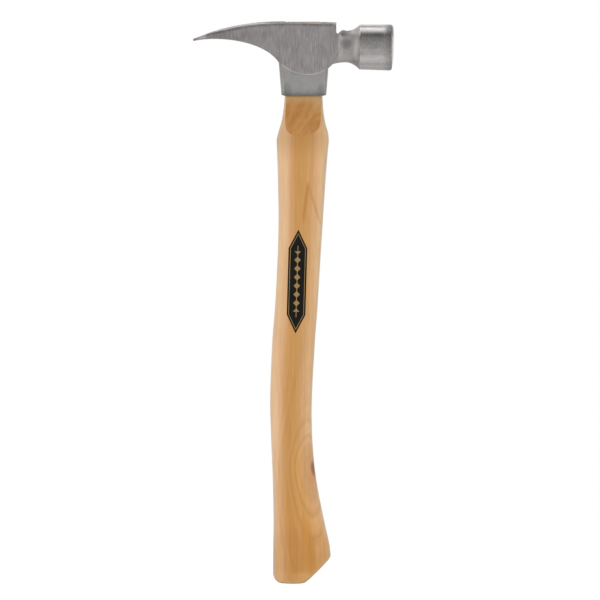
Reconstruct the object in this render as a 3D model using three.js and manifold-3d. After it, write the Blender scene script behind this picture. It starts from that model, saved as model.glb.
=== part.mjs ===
// Claw hammer with a one-piece alloy head on a curved wooden handle.
// Millimetres, +Z up. +X points to the striking face, -X to the claw, Y runs across.
// The origin lies on the axis of the eye, in the plane of the socket's underside.
import * as THREE from "three";
import { mergeVertices } from "three/addons/utils/BufferGeometryUtils.js";
import Module from "manifold-3d";

const wasm = await Module();
wasm.setup();

// Fits
const fit_gap = 0.3; // between pieces that are driven or set into each other
const cut_over = 2; // how far a cutter runs past the face that it opens

// Head: eye, an hourglass hole
const head_height = 60.5; // underside of the socket to the top of the head
const eye_length = 31.2; // along the head, at the underside
const eye_width = 18.8; // across, at the underside
const eye_pinch_length = 3.4; // what the eye loses at its waist
const eye_pinch_width = 2.2;
const eye_flare_length = 1; // what it gains again at the top
const eye_flare_width = 1.8;
const eye_waist_height = 26;
const eye_corner = 3.2;

// Head: socket round the eye
const socket_back_wall = 2.4; // at the underside
const socket_front_wall = 2.8;
const socket_side_wall = 2.3;
const socket_lean = 4.6; // degrees that the front and back faces lean out
const socket_chamfer = 3.4;
const socket_reach = 34; // the socket is lost in the cheek above this height

// Head: ground cheeks, one plate from the claw's tip to the disc round the eye
const cheek_proud = 0.6; // cheek over socket on each side
const cheek_chamfer = 0.6;
const disc_radius = 24.75;
const disc_ahead = 4.4; // disc centre in front of the eye axis
const disc_below_top = 18.9;
const step_set_back = 2.6; // front wall of the cheek, behind the front of the disc
const step_fall = 0.9; // the top falls this much from the eye axis to the step
const lap_turn = 266; // degrees round the disc where its edge lets go of the circle
const lap_run = 9.9; // from there it runs back level this way
const lap_rise_ahead = 4.55; // and comes up to the claw's root
const lap_rise = 4.9;

// Head: claw
const claw_reach = 89.5; // eye axis to the tip
const claw_run = 74.7; // length over which the top sweeps down
const claw_drop = 14.2; // how far the tip lies below the top of the head
const claw_power = 2.3; // how late the sweep sets in
const claw_tip_thickness = 1.6;
const claw_root_height = 27.2; // where the underside meets the socket
const claw_belly_reach = 20.8; // the underside leaves the tip this way
const claw_belly_rise = 4.55;
const claw_throat_reach = 11.6; // and comes down to the socket this way
const claw_throat_rise = 17.7;
const slot_length = 42; // nail slot, from the tip
const slot_mouth = 10.5; // its width at the tip
const slot_root = 2.6; // its width at the root

// Head: neck and poll, turned about one axis
const poll_below_top = 2.25; // top of the poll's back under the top of the head
const poll_radius = 18.35;
const poll_tilt = 1.2; // degrees that the axis falls toward the face
const poll_length = 27.7; // back of the poll to the crown of the face
const poll_growth = 0.35; // of the radius, from the back to the rim
const poll_edge = 2.4; // rounding at the rim
const face_crown = 0.9;
const face_flat_radius = 6;
const neck_length = 16.5; // front of the disc to the poll
const neck_waist_radius = 12.8;
const neck_waist_ahead = 5.35; // waist in front of the disc
const neck_root_depth = 5.8; // how far the neck's root starts inside the disc
const neck_root_radius = 14.8;
const neck_power = 2; // how late the neck swells
const neck_inset = 1.8; // sides of the neck inside the cheeks

// Head: nail starter
const notch_width = 3.7; // seat of a nail's head, in front of the step
const notch_depth = 2.9; // below the top of the neck
const notch_lip = 1.2; // how far the step's wall runs down into the notch
const notch_floor_ahead = 1; // deepest line of the notch in front of the step
const groove_width = 4.2; // channel that the nail's shank lies in
const groove_depth = 1.1; // below the top of the poll
const magnet_ahead = 12; // magnet in front of the disc
const magnet_diameter = 6;
const magnet_length = 4;
const magnet_sink = 0.2; // below the top of the neck's waist

// Handle: stations down from the socket's underside
const handle_length = 395.6;
const throat_drop = 11;
const swell_drop = 20.7;
const brow_drop = 30.4;
const shoulder_drop = 36;
const under_drop = 43.4;
const collar_drop = 64;
const shaft_drop = 105;
const middle_drop = 150;
const sway_drop = 174;
const swing_drop = 198;
const bend_rise = 149; // the rest are measured up from the butt
const grip_rise = 117;
const flare_rise = 84;
const heel_rise = 51;
const foot_rise = 27;

// Handle: widths in the plane of the swing
const throat_width = 32.3;
const swell_width = 35.5;
const brow_width = 40.8;
const shoulder_width = 42.5;
const under_width = 41.5;
const collar_width = 39.1;
const shaft_width = 35.8;
const middle_width = 34.6;
const swing_width = 34.7;
const bend_width = 33.9;
const grip_width = 33.5;
const flare_width = 35.4;
const heel_width = 41.1;
const foot_width = 46.4;
const butt_width = 47.3;

// Handle: how far its middle lies behind the eye axis
const swell_back = 0.3;
const brow_back = 0.35;
const shoulder_back = 0.7;
const collar_back = 1.4;
const shaft_back = 2.5;
const middle_back = 4.7;
const sway_back = 6.15;
const swing_back = 8.05;
const bend_back = 10.2;
const grip_back = 9.6;
const flare_back = 7.3;
const heel_back = 3.8;
const foot_back = 1.5;
const butt_back = 1.25;

// Handle: thicknesses across, section, and the planed flats under the socket
const shoulder_thickness = 25;
const shaft_thickness = 22.4;
const bend_thickness = 23.4;
const butt_thickness = 26.4;
const section_power = 2.5; // 2 is an ellipse, more is squarer
const shoulder_squareness = 3.3; // added to the power at the socket
const squareness_drop = 40; // where that addition has faded
const flat_inset = 0.5; // flats inside the eye's sides at the socket
const flat_drop = 33; // where the planed flats run out
const flat_power = 1.4; // how late they fade

// Handle: butt
const butt_rounding = 2.2;
const heel_rounding = 7.8; // back corner of the butt
const toe_cut_rise = 21.8; // slanted cut that takes off the front corner
const toe_cut_ahead = 0.9; // where it meets the butt, in front of the eye axis

// Tenon and wedges
const tenon_below_top = 0.4;
const kerf_depth = 40;
const kerf_foot = 1.6; // width at the bottom of the kerf
const wedge_depth = 36;
const wedge_top = 5.4; // thickness of the wooden wedge
const wedge_end_gap = 0.8; // ends of the wooden wedge inside the eye's waist
const steel_cover = 1.05; // wood left beside a steel wedge at the eye's waist
const steel_depth = 17;
const steel_top = 2.3;
const steel_foot = 0.8;
const steel_spacing = 13;

// Fineness of the curves
const turns = 64;
const section_points = 44;
const handle_rings = 76;
const outline_steps = 22;
const curve_steps = 8;
const corner_steps = 5;

// Sizes and places that follow from the ones above
const socket_back = eye_length / 2 + socket_back_wall;
const socket_front = eye_length / 2 + socket_front_wall;
const socket_width = eye_width + 2 * socket_side_wall;
const cheek_width = socket_width + 2 * cheek_proud;
const disc_height = head_height - disc_below_top;
const disc_front = disc_ahead + disc_radius;
const step_ahead = disc_front - step_set_back;
const poll_back = disc_front + neck_length;
const poll_axis_height = head_height - poll_below_top - poll_radius;
const neck_waist = disc_front + neck_waist_ahead;
const neck_top = poll_axis_height + neck_waist_radius;
const face_ahead = poll_back + poll_length;
const tenon_top = head_height - tenon_below_top;
const steel_length = eye_width - eye_pinch_width - 2 * steel_cover;

const degrees = Math.PI / 180;

const materials = {
  alloy: new THREE.MeshStandardMaterial({ color: 0xc4c2c1, roughness: 0.4, metalness: 1 }),
  hickory: new THREE.MeshStandardMaterial({ color: 0xc2955d, roughness: 0.45, metalness: 0 }),
  wedge_wood: new THREE.MeshStandardMaterial({ color: 0xb38650, roughness: 0.7, metalness: 0 }),
  steel: new THREE.MeshStandardMaterial({ color: 0xa6a6a8, roughness: 0.4, metalness: 1 }),
  magnet: new THREE.MeshStandardMaterial({ color: 0xdadadb, roughness: 0.2, metalness: 1 }),
};

// Turns a closed three.js geometry into a solid that can be cut and joined.
function solid(geometry) {
  const plain = geometry.index ? geometry.toNonIndexed() : geometry.clone();
  plain.deleteAttribute("normal");
  plain.deleteAttribute("uv");
  const merged = mergeVertices(plain, 1e-4);
  return new wasm.Manifold(
    new wasm.Mesh({
      numProp: 3,
      vertProperties: Float32Array.from(merged.attributes.position.array),
      triVerts: Uint32Array.from(merged.index.array),
    }),
  );
}

// Gives a finished solid its name and material.
function piece(name, body, material) {
  const shape = body.getMesh();
  const geometry = new THREE.BufferGeometry();
  geometry.setAttribute("position", new THREE.BufferAttribute(shape.vertProperties, 3));
  geometry.setIndex(new THREE.BufferAttribute(shape.triVerts, 1));
  geometry.computeVertexNormals();
  const mesh = new THREE.Mesh(geometry, material);
  mesh.name = name;
  return mesh;
}

// Skin over rings of equal count, listed from the bottom up, each counter-clockwise from above.
function loft(rings) {
  const count = rings[0].length;
  const points = rings.flat();
  const faces = [];
  for (let r = 0; r + 1 < rings.length; r += 1) {
    for (let i = 0; i < count; i += 1) {
      const a = r * count + i;
      const b = r * count + ((i + 1) % count);
      faces.push(a, b, b + count, a, b + count, a + count);
    }
  }
  const caps = [
    [rings[0], 0, true],
    [rings[rings.length - 1], (rings.length - 1) * count, false],
  ];
  for (const [ring, first, facesDown] of caps) {
    const middle = ring.reduce((sum, p) => sum.add(p), new THREE.Vector3());
    const hub = points.push(middle.divideScalar(count)) - 1;
    for (let i = 0; i < count; i += 1) {
      const a = first + i;
      const b = first + ((i + 1) % count);
      faces.push(...(facesDown ? [b, a, hub] : [a, b, hub]));
    }
  }
  const geometry = new THREE.BufferGeometry().setFromPoints(points);
  geometry.setIndex(faces);
  return geometry;
}

// Rectangle with rounded corners at one height, given by its four sides.
function roundedRing(back, front, halfWidth, corner, z) {
  const ring = [];
  const corners = [
    [front - corner, halfWidth - corner, 0],
    [back + corner, halfWidth - corner, 1],
    [back + corner, -halfWidth + corner, 2],
    [front - corner, -halfWidth + corner, 3],
  ];
  for (const [x, y, quarter] of corners) {
    for (let i = 0; i <= corner_steps; i += 1) {
      const angle = (quarter + i / corner_steps) * 90 * degrees;
      ring.push(new THREE.Vector3(x + corner * Math.cos(angle), y + corner * Math.sin(angle), z));
    }
  }
  return ring;
}

// Prism along Z with a flat outline in X and Y.
function uprightPrism(shape, low, high) {
  const geometry = new THREE.ExtrudeGeometry(shape, { depth: high - low, bevelEnabled: false });
  geometry.translate(0, 0, low);
  return geometry;
}

// Prism across the tool: the outline is drawn in X and Z, the prism is centred on y = 0.
function crossPrism(shape, width, chamfer = 0) {
  const geometry = new THREE.ExtrudeGeometry(shape, {
    depth: width - 2 * chamfer,
    bevelEnabled: chamfer > 0,
    bevelSegments: 1,
    bevelSize: chamfer,
    bevelThickness: chamfer,
    bevelOffset: -chamfer,
  });
  geometry.translate(0, 0, -width / 2 + chamfer);
  geometry.rotateX(90 * degrees);
  return geometry;
}

// Height of the claw's and head's top above the socket's underside.
function topHeight(x) {
  const swept = Math.max(0, claw_run - claw_reach - x) / claw_run;
  const fallen = Math.max(0, x) / step_ahead;
  return head_height - claw_drop * swept ** claw_power - step_fall * fallen;
}

// How far the socket's front and back faces have leaned out at a height.
function leanAt(z) {
  return z * Math.tan(socket_lean * degrees);
}

// Outline of the claw, cheek and disc, seen from the side.
function cheekShape() {
  const tip = -claw_reach;
  const tipFoot = topHeight(tip) - claw_tip_thickness;
  const root = -socket_back - leanAt(claw_root_height);
  const shape = new THREE.Shape();
  shape.moveTo(tip, tipFoot);
  shape.bezierCurveTo(
    tip + claw_belly_reach, tipFoot + claw_belly_rise,
    root - claw_throat_reach, claw_root_height + claw_throat_rise,
    root, claw_root_height,
  );
  const discFrom = lap_turn * degrees;
  const discTo = 2 * Math.PI + Math.acos((step_ahead - disc_ahead) / disc_radius);
  const lapX = disc_ahead + disc_radius * Math.cos(discFrom);
  const lapZ = disc_height + disc_radius * Math.sin(discFrom);
  shape.bezierCurveTo(
    root + lap_rise_ahead, claw_root_height - lap_rise,
    lapX - lap_run, lapZ,
    lapX, lapZ,
  );
  shape.absarc(disc_ahead, disc_height, disc_radius, discFrom, discTo, false);
  for (let i = 0; i <= outline_steps; i += 1) {
    const x = step_ahead - (step_ahead + claw_reach) * (i / outline_steps);
    shape.lineTo(x, topHeight(x));
  }
  return shape;
}

// Socket: a tapering block round the end of the handle.
function socketBody() {
  const half = socket_width / 2;
  const ringAt = (z) => {
    const back = -socket_back - leanAt(z);
    const front = socket_front + leanAt(z);
    const ends = [
      [front, -half + socket_chamfer], [front, half - socket_chamfer],
      [front - socket_chamfer, half], [back + socket_chamfer, half],
      [back, half - socket_chamfer], [back, -half + socket_chamfer],
      [back + socket_chamfer, -half], [front - socket_chamfer, -half],
    ];
    return ends.map(([x, y]) => new THREE.Vector3(x, y, z));
  };
  return solid(loft([ringAt(0), ringAt(socket_reach)]));
}

// Turned profile of the neck and poll, from inside the cheek to the crown of the face.
function pollProfile() {
  const swell = (end, endRadius, share) => new THREE.Vector2(
    neck_waist_radius + (endRadius - neck_waist_radius) * share ** neck_power,
    neck_waist + (end - neck_waist) * share,
  );
  const neckRoot = disc_front - neck_root_depth;
  const profile = [new THREE.Vector2(0, neckRoot)];
  for (let i = curve_steps; i > 0; i -= 1) {
    profile.push(swell(neckRoot, neck_root_radius, i / curve_steps));
  }
  for (let i = 0; i <= curve_steps; i += 1) {
    profile.push(swell(poll_back, poll_radius, i / curve_steps));
  }
  const rimRadius = poll_radius + poll_growth;
  const rimAhead = face_ahead - face_crown;
  for (let i = 0; i <= corner_steps; i += 1) {
    const angle = (i / corner_steps) * 90 * degrees;
    profile.push(new THREE.Vector2(
      rimRadius - poll_edge * (1 - Math.cos(angle)),
      rimAhead - poll_edge * (1 - Math.sin(angle)),
    ));
  }
  const crownFrom = rimRadius - poll_edge;
  for (let i = 1; i <= corner_steps; i += 1) {
    const share = i / corner_steps;
    profile.push(new THREE.Vector2(
      crownFrom + (face_flat_radius - crownFrom) * share,
      rimAhead + face_crown * (1 - (1 - share) ** 2),
    ));
  }
  profile.push(new THREE.Vector2(0, face_ahead));
  return profile;
}

// Neck and poll. The neck's sides are pressed in, so that the ground cheeks stand proud of it.
function pollBody() {
  const geometry = new THREE.LatheGeometry(pollProfile(), turns);
  geometry.rotateZ(-90 * degrees);
  const places = geometry.attributes.position;
  const side = Math.min(neck_waist_radius, cheek_width / 2 - neck_inset);
  for (let i = 0; i < places.count; i += 1) {
    const x = places.getX(i);
    const radius = Math.hypot(places.getY(i), places.getZ(i));
    if (x < poll_back && radius > 0) {
      const swollen = (radius - neck_waist_radius) / (poll_radius - neck_waist_radius);
      const pressed = x < neck_waist ? side : side + (poll_radius - side) * swollen;
      places.setZ(i, places.getZ(i) * Math.min(1, pressed / radius));
    }
  }
  geometry.rotateX(90 * degrees);
  geometry.translate(-poll_back, 0, 0);
  geometry.rotateY(poll_tilt * degrees);
  geometry.translate(poll_back, 0, poll_axis_height);
  return solid(geometry);
}

// Eye, or the tenon that fills it when a gap is taken off all round.
function eyeBody(gap, low, high) {
  const sizes = [
    [0, eye_length, eye_width],
    [eye_waist_height, eye_length - eye_pinch_length, eye_width - eye_pinch_width],
    [
      head_height,
      eye_length - eye_pinch_length + eye_flare_length,
      eye_width - eye_pinch_width + eye_flare_width,
    ],
  ];
  const rings = [low, eye_waist_height, high].map((z) => {
    const upper = z > eye_waist_height ? 1 : 0;
    const [z0, l0, w0] = sizes[upper];
    const [z1, l1, w1] = sizes[upper + 1];
    const share = (z - z0) / (z1 - z0);
    const halfLength = (l0 + (l1 - l0) * share) / 2 - gap;
    const halfWidth = (w0 + (w1 - w0) * share) / 2 - gap;
    return roundedRing(-halfLength, halfLength, halfWidth, eye_corner, z);
  });
  return solid(loft(rings));
}

// Nail slot: a V from the tip with a round root.
function slotBody() {
  const rootHalf = slot_root / 2;
  const rootX = -claw_reach + slot_length - rootHalf;
  const mouthX = -claw_reach - cut_over;
  const spread = (slot_mouth / 2 - rootHalf) / (rootX + claw_reach);
  const mouthHalf = rootHalf + spread * (rootX - mouthX);
  const shape = new THREE.Shape();
  shape.moveTo(mouthX, -mouthHalf);
  shape.lineTo(rootX, -rootHalf);
  shape.absarc(rootX, 0, rootHalf, -90 * degrees, 90 * degrees, false);
  shape.lineTo(mouthX, mouthHalf);
  return solid(uprightPrism(shape, 0, head_height + cut_over));
}

// Nail starter: a notch in front of the step, and a channel over the neck and poll.
function starterCuts() {
  const notch = new THREE.Shape();
  notch.moveTo(step_ahead, neck_top + cut_over);
  notch.lineTo(step_ahead, neck_top - notch_lip);
  notch.lineTo(step_ahead + notch_floor_ahead, neck_top - notch_depth);
  notch.lineTo(step_ahead + notch_width, neck_top);
  notch.lineTo(step_ahead + notch_width + cut_over, neck_top + cut_over);
  const channel = new THREE.CylinderGeometry(
    groove_width / 2, groove_width / 2, face_ahead - step_ahead + cut_over, turns / 4,
  );
  channel.rotateZ(90 * degrees);
  channel.translate(
    (face_ahead + step_ahead + cut_over) / 2, 0,
    poll_axis_height + poll_radius + groove_width / 2 - groove_depth,
  );
  return solid(crossPrism(notch, cheek_width + cut_over)).add(solid(channel));
}

// Upright cylinder at the magnet's place in the swell of the neck.
function magnetCylinder(gap, low, high) {
  const radius = magnet_diameter / 2 + gap;
  const cylinder = new THREE.CylinderGeometry(radius, radius, high - low, turns / 2);
  cylinder.rotateX(90 * degrees);
  cylinder.translate(disc_front + magnet_ahead, 0, (low + high) / 2);
  return solid(cylinder);
}

// The magnet's pocket is open at the top, so that the magnet can be pressed in.
function magnetPocket() {
  const floor = neck_top - magnet_sink - magnet_length - fit_gap;
  return magnetCylinder(fit_gap, floor, head_height + cut_over);
}

function starterMagnet() {
  const top = neck_top - magnet_sink;
  return piece("starter_magnet", magnetCylinder(0, top - magnet_length, top), materials.magnet);
}

function head() {
  const body = solid(crossPrism(cheekShape(), cheek_width, cheek_chamfer))
    .add(socketBody())
    .add(pollBody())
    .subtract(eyeBody(0, -cut_over, head_height + cut_over))
    .subtract(slotBody())
    .subtract(starterCuts())
    .subtract(magnetPocket());
  return piece("head", body, materials.alloy);
}

// Value at one drop, on a smooth curve through stations that are sorted by their drop.
function along(stations, drop) {
  const last = stations.length - 2;
  let i = 0;
  while (i < last && drop > stations[i + 1][0]) i += 1;
  const slope = (j) => {
    const a = stations[Math.max(j - 1, 0)];
    const b = stations[Math.min(j + 1, stations.length - 1)];
    return (b[1] - a[1]) / (b[0] - a[0]);
  };
  const [d0, v0] = stations[i];
  const [d1, v1] = stations[i + 1];
  const span = d1 - d0;
  const t = (drop - d0) / span;
  const blend = t * t * (3 - 2 * t);
  const ease = t * (1 - t) * span;
  return v0 + (v1 - v0) * blend + ease * ((1 - t) * slope(i) - t * slope(i + 1));
}

// Half-thickness that the planed flats leave under the socket.
function flatHalf(drop) {
  const start = eye_width / 2 - flat_inset;
  const end = shoulder_thickness / 2;
  return start + (end - start) * Math.max(0, drop / flat_drop) ** flat_power;
}

// Power of the section: squarer toward the socket.
function sectionPower(drop) {
  const faded = THREE.MathUtils.smoothstep(drop, 0, squareness_drop);
  return section_power + shoulder_squareness * (1 - faded);
}

// One ring of the handle's skin: a squarish oval, with its sides planed flat near the socket.
function handleRing(drop, shrink) {
  const up = (rise) => handle_length - rise;
  const widths = [
    [0, eye_length - 2 * fit_gap], [throat_drop, throat_width], [swell_drop, swell_width],
    [brow_drop, brow_width], [shoulder_drop, shoulder_width], [under_drop, under_width],
    [collar_drop, collar_width], [shaft_drop, shaft_width], [middle_drop, middle_width],
    [swing_drop, swing_width], [up(bend_rise), bend_width], [up(grip_rise), grip_width],
    [up(flare_rise), flare_width], [up(heel_rise), heel_width], [up(foot_rise), foot_width],
    [up(0), butt_width],
  ];
  const backs = [
    [0, 0], [swell_drop, swell_back], [brow_drop, brow_back], [shoulder_drop, shoulder_back],
    [collar_drop, collar_back], [shaft_drop, shaft_back], [middle_drop, middle_back],
    [sway_drop, sway_back], [swing_drop, swing_back],
    [up(bend_rise), bend_back], [up(grip_rise), grip_back], [up(flare_rise), flare_back],
    [up(heel_rise), heel_back], [up(foot_rise), foot_back], [up(0), butt_back],
  ];
  const thicknesses = [
    [0, shoulder_thickness], [shoulder_drop, shoulder_thickness],
    [middle_drop, shaft_thickness], [up(bend_rise), bend_thickness], [up(0), butt_thickness],
  ];
  const half = along(widths, drop) / 2 - shrink;
  const thick = along(thicknesses, drop) / 2 - shrink;
  const flat = flatHalf(drop);
  const power = sectionPower(drop);
  const ring = [];
  for (let i = 0; i < section_points; i += 1) {
    const angle = (i / section_points) * 360 * degrees;
    const c = Math.cos(angle);
    const s = Math.sin(angle);
    const reach = (Math.abs(c) ** power + Math.abs(s) ** power) ** (-1 / power);
    const y = THREE.MathUtils.clamp(thick * s * reach, -flat, flat);
    ring.push(new THREE.Vector3(half * c * reach - along(backs, drop), y, -drop));
  }
  return ring;
}

function handleBody() {
  const rings = [];
  for (let i = 0; i <= corner_steps; i += 1) {
    const angle = (i / corner_steps) * 90 * degrees;
    const drop = handle_length - butt_rounding * (1 - Math.sin(angle));
    rings.push(handleRing(drop, butt_rounding * (1 - Math.cos(angle))));
  }
  rings.reverse();
  for (let i = 1; i <= handle_rings; i += 1) {
    const share = 1 - i / handle_rings;
    rings.push(handleRing((handle_length - butt_rounding) * share, 0));
  }
  return solid(loft(rings));
}

// Slanted cut that takes the front corner off the butt.
function toeCut() {
  const corner = butt_width / 2 - butt_back;
  const slope = toe_cut_rise / (corner - toe_cut_ahead);
  const heightAt = (x) => -handle_length + (x - toe_cut_ahead) * slope;
  const from = toe_cut_ahead - cut_over;
  const to = corner + butt_width / 2;
  const shape = new THREE.Shape();
  shape.moveTo(from, heightAt(from));
  shape.lineTo(to, heightAt(from));
  shape.lineTo(to, heightAt(to));
  return solid(crossPrism(shape, butt_thickness + cut_over));
}

// Cut that rounds the back corner of the butt.
function heelCut() {
  const back = -butt_width / 2 - butt_back;
  const shape = new THREE.Shape();
  shape.moveTo(back - cut_over, -handle_length - cut_over);
  shape.lineTo(back + heel_rounding, -handle_length - cut_over);
  shape.absarc(
    back + heel_rounding, -handle_length + heel_rounding, heel_rounding,
    -90 * degrees, -180 * degrees, true,
  );
  shape.lineTo(back - cut_over, -handle_length + heel_rounding);
  return solid(crossPrism(shape, butt_thickness + cut_over));
}

// Tapering slab across the tool, thin end down. A gap widens it, a rise lengthens it upward.
function taperedSlab(length, depth, top, foot, gap, rise) {
  const growth = ((top - foot) / 2 / depth) * rise;
  const outline = new THREE.Shape();
  outline.moveTo(-foot / 2 - gap, tenon_top - depth - gap);
  outline.lineTo(foot / 2 + gap, tenon_top - depth - gap);
  outline.lineTo(top / 2 + gap + growth, tenon_top + rise);
  outline.lineTo(-top / 2 - gap - growth, tenon_top + rise);
  return crossPrism(outline, length + 2 * gap);
}

// Steel cross wedge at one place along the eye, or the slot that it makes.
function steelBody(x, gap, rise) {
  const slab = taperedSlab(steel_length, steel_depth, steel_top, steel_foot, gap, rise);
  slab.translate(x, 0, 0);
  return solid(slab);
}

function steelSlots() {
  return steelBody(steel_spacing / 2, fit_gap, cut_over)
    .add(steelBody(-steel_spacing / 2, fit_gap, cut_over));
}

function steelWedge(name, x) {
  return piece(name, steelBody(x, 0, 0), materials.steel);
}

// The kerf is as wide at the top as the wooden wedge and its gaps.
function handle() {
  const kerfTop = wedge_top + 2 * fit_gap;
  const kerf = taperedSlab(eye_length + cut_over, kerf_depth, kerfTop, kerf_foot, 0, cut_over);
  kerf.rotateZ(90 * degrees);
  const body = handleBody()
    .add(eyeBody(fit_gap, -cut_over, tenon_top))
    .subtract(toeCut())
    .subtract(heelCut())
    .subtract(solid(kerf))
    .subtract(steelSlots());
  return piece("handle", body, materials.hickory);
}

function woodWedge() {
  const slimming = (wedge_top + 2 * fit_gap - kerf_foot) / kerf_depth;
  const foot = wedge_top - slimming * wedge_depth;
  const length = eye_length - eye_pinch_length - 2 * wedge_end_gap;
  const slab = taperedSlab(length, wedge_depth, wedge_top, foot, 0, 0);
  slab.rotateZ(90 * degrees);
  return piece("wood_wedge", solid(slab).subtract(steelSlots()), materials.wedge_wood);
}

const hammer = new THREE.Group();
hammer.add(head());
hammer.add(handle());
hammer.add(woodWedge());
hammer.add(steelWedge("steel_wedge_front", steel_spacing / 2));
hammer.add(steelWedge("steel_wedge_rear", -steel_spacing / 2));
hammer.add(starterMagnet());

export default hammer;
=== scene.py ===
# %% [markdown]
# # A claw hammer, head up, seen square from the side
# The real thing is one alloy casting wedged on a bent hickory handle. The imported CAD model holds
# its sizes. This lesson rebuilds the pieces as finer surfaces in the same frame and gives them
# their finishes. Every surface is worked out with numpy, so a reader can change a formula and
# see what it does. Sizes are written in millimetres and turned into metres at the end.

import bpy
import numpy as np
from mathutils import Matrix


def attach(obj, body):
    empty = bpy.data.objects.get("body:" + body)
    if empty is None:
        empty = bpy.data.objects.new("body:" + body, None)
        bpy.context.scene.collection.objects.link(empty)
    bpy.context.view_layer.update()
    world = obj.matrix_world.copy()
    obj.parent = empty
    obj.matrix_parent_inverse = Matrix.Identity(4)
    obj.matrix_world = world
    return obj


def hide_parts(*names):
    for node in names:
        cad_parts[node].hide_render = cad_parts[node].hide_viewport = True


MM = 0.001
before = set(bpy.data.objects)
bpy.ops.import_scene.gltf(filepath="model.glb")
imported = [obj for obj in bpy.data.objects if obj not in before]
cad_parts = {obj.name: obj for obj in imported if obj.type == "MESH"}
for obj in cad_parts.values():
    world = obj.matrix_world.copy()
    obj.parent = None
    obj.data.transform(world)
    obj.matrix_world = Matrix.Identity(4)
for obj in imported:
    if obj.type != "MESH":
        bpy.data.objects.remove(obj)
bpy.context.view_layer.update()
print("nodes:", sorted(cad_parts))

# %% [markdown]
# ## Camera
# The photograph was taken from far away with a long lens: it shows nothing of the claw's or the
# socket's underside, though they lie well above the picture's middle. So the camera stands
# twenty metres off, and its angle is the one that makes the picture 487 mm high at the tool.


# %% Camera
def shown(name, data):
    """New object made from its data and linked into the scene."""
    made = bpy.data.objects.new(name, data)
    bpy.context.scene.collection.objects.link(made)
    return made


picture_height, picture_x, picture_z = 486.8, -2.92, -165.5
camera_distance = 20000.0
lens = bpy.data.cameras.new("long_lens")
lens.sensor_fit = "HORIZONTAL"
lens.angle = 2 * np.arctan(picture_height / 2 / camera_distance)
lens.clip_start, lens.clip_end = 0.1, 60
camera = shown("camera", lens)
camera.location = MM * np.array([picture_x, -camera_distance, picture_z])
camera.rotation_euler = (np.pi / 2, 0, 0)
bpy.context.scene.camera = camera
bpy.context.scene.view_settings.view_transform = "Standard"
print("lens angle in degrees:", round(np.degrees(lens.angle), 2))

# %% [markdown]
# ## Helpers for surfaces
# A tool like this is made of lofts: closed outlines stacked one behind the other. `skin` joins
# a stack of rings with quads and closes both ends. `combine` cuts or joins pieces with
# Blender's Boolean modifier, and `settle` keeps only the shape that it leaves, as a file would.


# %% Skin
def skin(name, rings):
    """Closed mesh over rings: an array of rings, points and x, y, z, in millimetres."""
    rows, count = rings.shape[:2]
    here = np.arange(count)
    after = (here + 1) % count
    row = np.arange(rows - 1)[:, None] * count
    quads = np.stack([row + here, row + after, row + count + after, row + count + here], -1)
    ends = [here[::-1].tolist(), ((rows - 1) * count + here).tolist()]
    mesh = bpy.data.meshes.new(name)
    points = (rings.reshape(-1, 3) * MM).tolist()
    mesh.from_pydata(points, [], quads.reshape(-1, 4).tolist() + ends)
    mesh.update()
    return shown(name, mesh)


print("skin ready")


# %% Cut and join
def combine(body, others, operation):
    """Applies one boolean per piece in others to body, and removes those pieces."""
    for other in others:
        step = body.modifiers.new("step", "BOOLEAN")
        step.operation = operation
        step.solver = "MANIFOLD"
        step.object = other
    settle(body)
    for other in others:
        bpy.data.objects.remove(other)


def settle(body):
    """Replaces a piece's mesh by what its modifiers make of it."""
    shaper = bpy.context.evaluated_depsgraph_get()
    shaped = bpy.data.meshes.new_from_object(body.evaluated_get(shaper))
    body.modifiers.clear()
    shaped.materials.clear()
    body.data = shaped


def read(parts, name):
    """One vector property of a mesh's points or faces as columns x, y and z."""
    values = np.empty(len(parts) * 3)
    parts.foreach_get(name, values)
    return values.reshape(-1, 3).T


print("cut and join ready")


# %% Lines and circles
def resample(points, step):
    """Points at an even spacing along an open line of points."""
    run = np.concatenate([[0], np.cumsum(np.hypot(*np.diff(points, axis=0).T))])
    places = np.linspace(0, run[-1], max(2, int(round(run[-1] / step)) + 1))
    return np.stack([np.interp(places, run, column) for column in points.T], 1)


def smooth(value):
    """Eases a share from 0 to 1 with level ends."""
    value = np.clip(value, 0, 1)
    return value * value * (3 - 2 * value)


def full_turn(count):
    """Evenly spaced angles round a circle."""
    return np.arange(count) / count * 2 * np.pi


def on_circle(angle, radius, ahead=0.0, above=0.0):
    """Two coordinates on a circle round a middle: cosine and sine times the radius."""
    return ahead + radius * np.cos(angle), above + radius * np.sin(angle)


def round_edge(turn, radius):
    """Rise and inset of a round edge after a turn: the radius less its cosine or sine."""
    return radius * (1 - np.cos(turn)), radius * (1 - np.sin(turn))


print("a round edge of 1 mm, half turned:", np.round(round_edge(np.pi / 4, 1.0), 2))

# %% [markdown]
# ## Driving sizes of the head
# They repeat the CAD model's, measured from the axis of the eye and the socket's underside.

# %% Sizes of the head
head_height = 60.5
eye_waist, eye_corner = 26.0, 3.2
eye_heights = (0, eye_waist, head_height)
eye_lengths, eye_widths = (31.2, 27.8, 28.8), (18.8, 16.6, 18.4)
socket_back, socket_front, socket_half = 18.0, 18.4, 11.7
socket_lean = np.tan(np.radians(4.6))
socket_chamfer = 3.4
cheek_half = 12.3
disc_radius, disc_ahead, disc_height = 24.75, 4.4, 41.6
disc_front = disc_ahead + disc_radius
step_ahead = disc_front - 2.6
step_fall = 0.9
claw_reach, claw_run, claw_drop, claw_power = 89.5, 74.7, 14.2, 2.3
claw_tip_thickness = 1.6
claw_root_height = 27.2
claw_root = -socket_back - socket_lean * claw_root_height
poll_back = disc_front + 16.5
poll_radius, poll_growth, poll_length = 18.35, 0.35, 27.7
poll_axis_height = head_height - 2.25 - poll_radius
poll_tilt = np.radians(1.2)
neck_waist = disc_front + 5.35
neck_waist_radius, neck_power = 12.8, 2.0
neck_top = poll_axis_height + neck_waist_radius
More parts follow.
